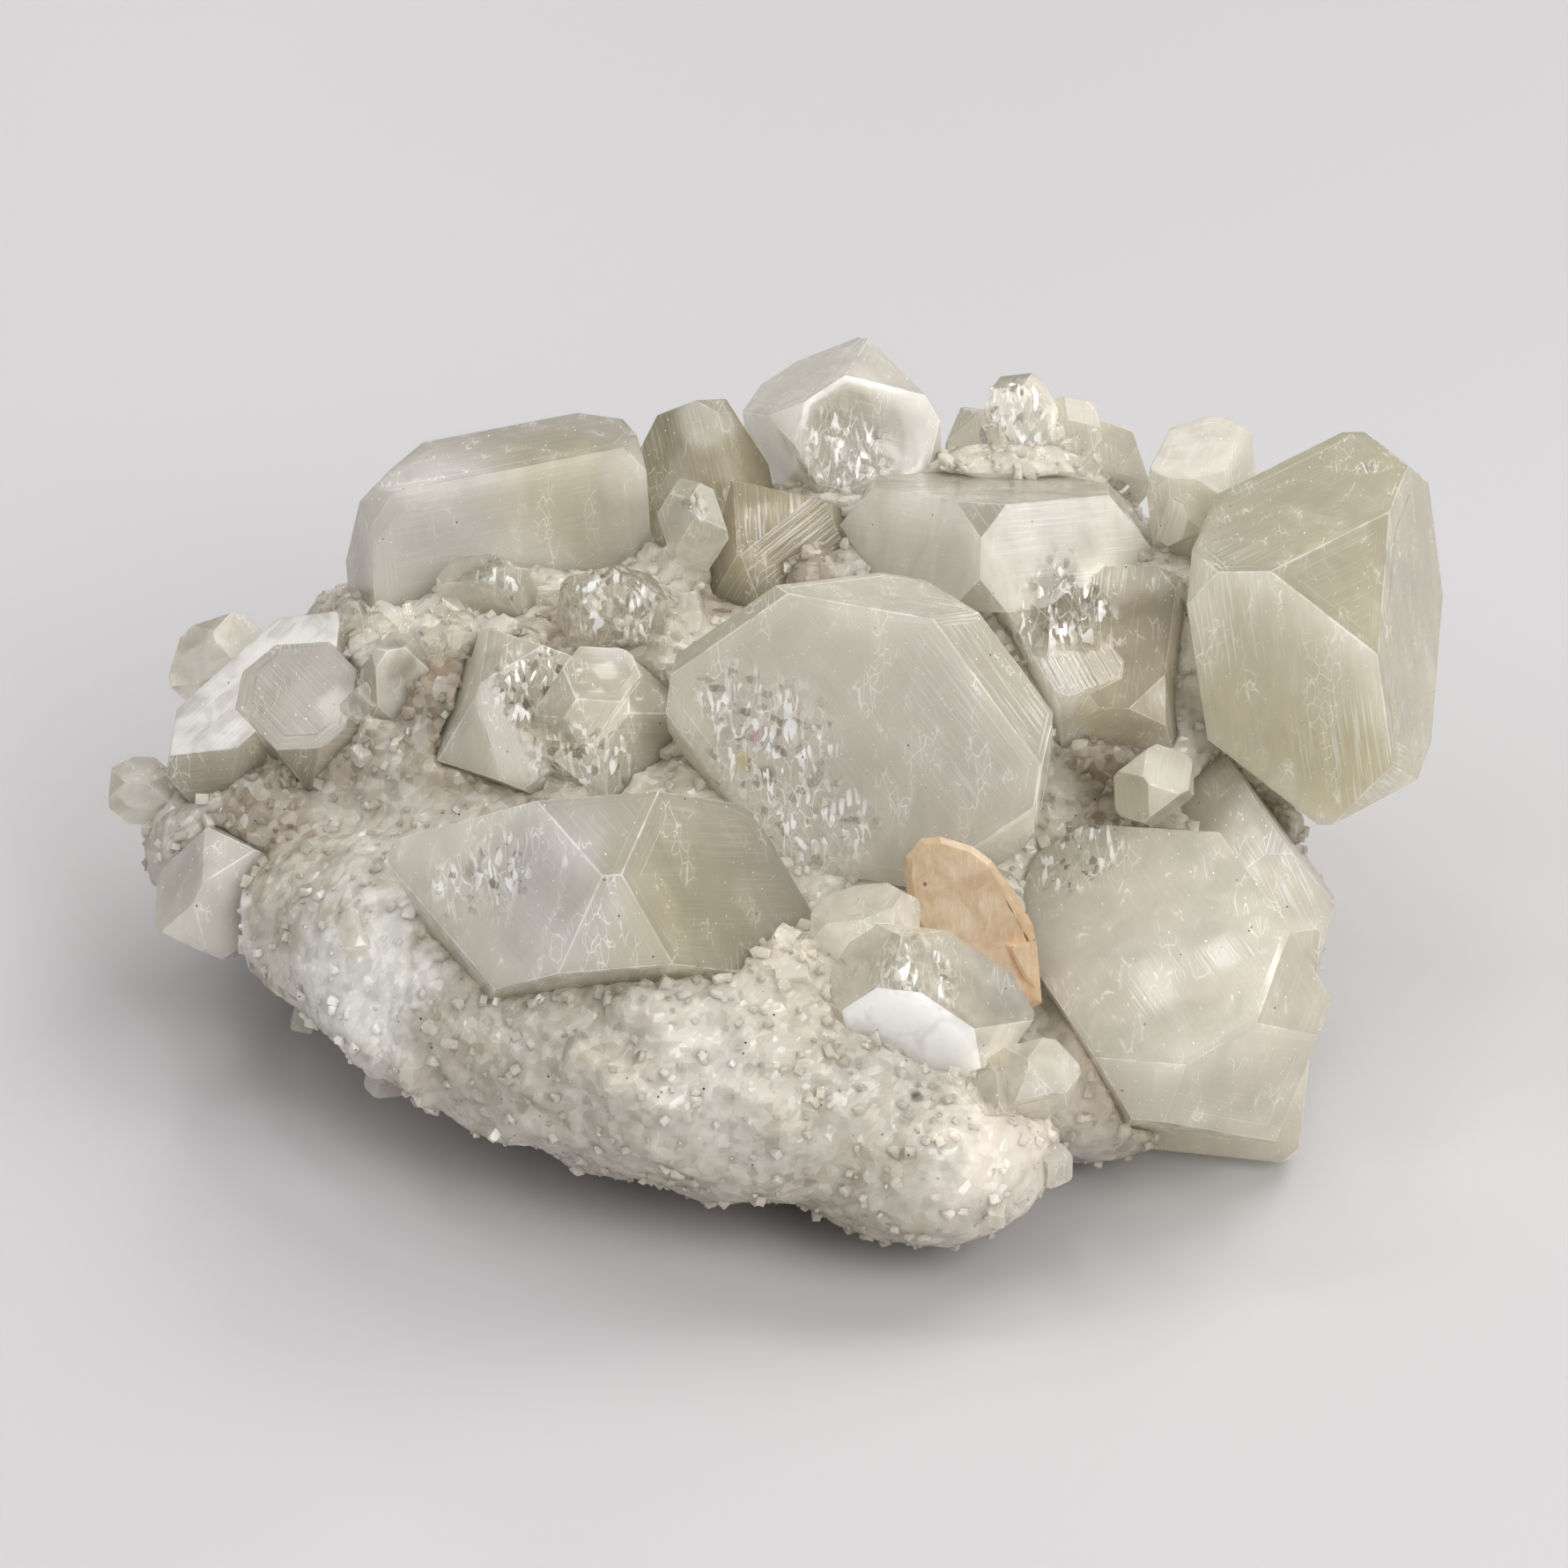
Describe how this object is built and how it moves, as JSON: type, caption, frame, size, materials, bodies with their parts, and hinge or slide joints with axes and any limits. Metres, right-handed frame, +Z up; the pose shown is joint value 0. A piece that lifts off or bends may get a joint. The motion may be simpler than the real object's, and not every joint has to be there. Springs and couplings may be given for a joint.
{
  "type": "apophyllite cluster",
  "caption": "Cluster of glassy, blocky apophyllite crystals with an orange stilbite blade on a loose piece of druzy matrix.",
  "frame": {"origin": "middle of the cluster's box, at the height of the flat patch under the matrix", "axes": "+Z up, -Y to the front, +X along the cluster's length towards the large block crystal"},
  "size_m": [0.0868, 0.0642, 0.0365],
  "materials": {
    "druzy_matrix": "granular druse, beige grey with brown stains and dark specks",
    "stilbite": "satin, orange peach",
    "clear_apophyllite": "glassy, clear",
    "frosted_apophyllite": "glassy to frosted, finely striated",
    "greenish_apophyllite": "glassy, faint olive tint"
  },
  "bodies": {
    "root": {"druzy_matrix": "druzy_matrix", "stilbite_blade": "stilbite", "right_block_crystal": "greenish_apophyllite", "top_crystal": "clear_apophyllite", "back_left_crystal": "frosted_apophyllite", "back_middle_crystals": "greenish_apophyllite", "centre_crystal": "frosted_apophyllite", "upper_middle_crystals": "frosted_apophyllite", "back_right_crystals": "frosted_apophyllite", "front_right_crystals": "frosted_apophyllite", "front_clear_crystals": "clear_apophyllite", "front_left_crystal": "frosted_apophyllite", "left_block_crystals": "greenish_apophyllite", "left_back_small_crystal": "clear_apophyllite", "far_left_crystal": "clear_apophyllite", "lower_left_crystal": "clear_apophyllite", "left_middle_crystal": "clear_apophyllite", "pointed_left_crystal": "clear_apophyllite", "sparkling_crystal": "clear_apophyllite", "triangular_crystals": "clear_apophyllite", "small_back_crystal": "clear_apophyllite", "jagged_back_crystals": "clear_apophyllite", "small_right_crystal": "greenish_apophyllite", "rear_left_crystals": "frosted_apophyllite", "rear_middle_crystal": "frosted_apophyllite", "rear_right_crystal": "greenish_apophyllite"}
  },
  "joints": []
}
